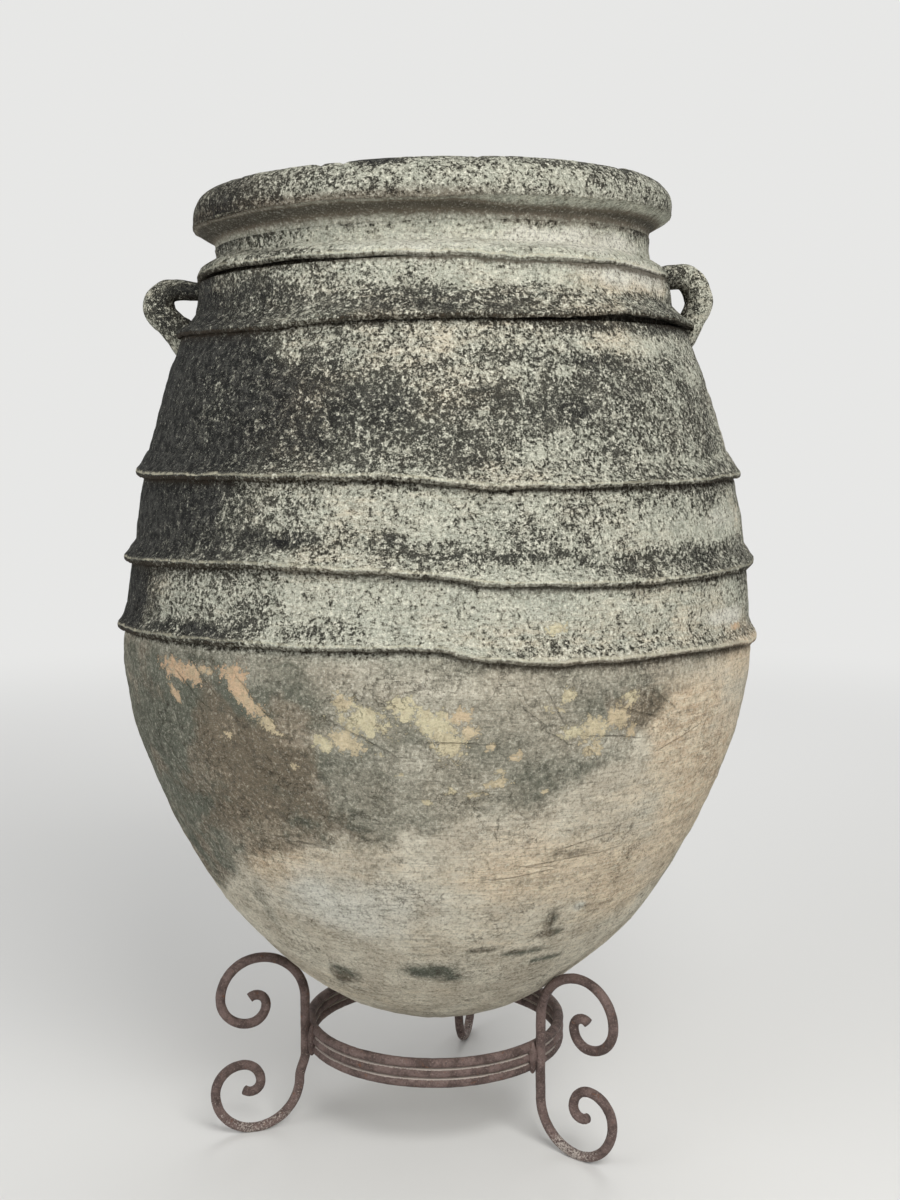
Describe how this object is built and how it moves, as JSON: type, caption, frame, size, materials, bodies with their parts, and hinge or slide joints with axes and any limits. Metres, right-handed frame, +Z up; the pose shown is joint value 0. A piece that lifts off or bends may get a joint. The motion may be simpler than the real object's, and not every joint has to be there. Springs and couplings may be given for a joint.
{
  "type": "storage jar on stand",
  "caption": "Large coil-built clay storage jar with raised cordons, rolled rim and small ear handles, standing in a scrolled iron tripod.",
  "frame": {"origin": "on the floor, under the jar's axis, in the middle of the stand", "axes": "+Z up along the jar's axis, +X to the right and +Y to the back as seen from the front"},
  "size_m": [0.932, 0.9314, 1.3752],
  "materials": {
    "weathered_clay": "rough unglazed fired clay, grey-olive with black lichen speckle",
    "pale_clay": "rough unglazed fired clay, pale grey-cream with dark speckle",
    "bare_clay": "unglazed fired clay, buff to pink, smoke-stained and scuffed",
    "rusty_iron": "dull brown rusted bar with pale limewash specks"
  },
  "bodies": {
    "stand": {"leg_back": "rusty_iron", "leg_left": "rusty_iron", "leg_right": "rusty_iron", "weld_back_a": "rusty_iron", "weld_back_b": "rusty_iron", "weld_left_a": "rusty_iron", "weld_left_b": "rusty_iron", "weld_right_a": "rusty_iron", "weld_right_b": "rusty_iron", "ring_lower": "rusty_iron", "ring_middle": "rusty_iron", "ring_upper": "rusty_iron"},
    "jar": {"lower_body": "bare_clay", "belly_course": "pale_clay", "middle_course": "weathered_clay", "upper_course": "weathered_clay", "collar_course": "weathered_clay", "neck": "pale_clay", "rim": "weathered_clay", "cordon_1": "pale_clay", "cordon_2": "weathered_clay", "cordon_3": "weathered_clay", "cordon_4": "weathered_clay", "cordon_5": "weathered_clay", "handle_right": "weathered_clay", "handle_left": "weathered_clay"}
  },
  "joints": [
    {"name": "jar_lift", "type": "slide", "parent": "stand", "child": "jar", "axis": [0, 0, 1], "range_m": [0, 0.15]}
  ]
}
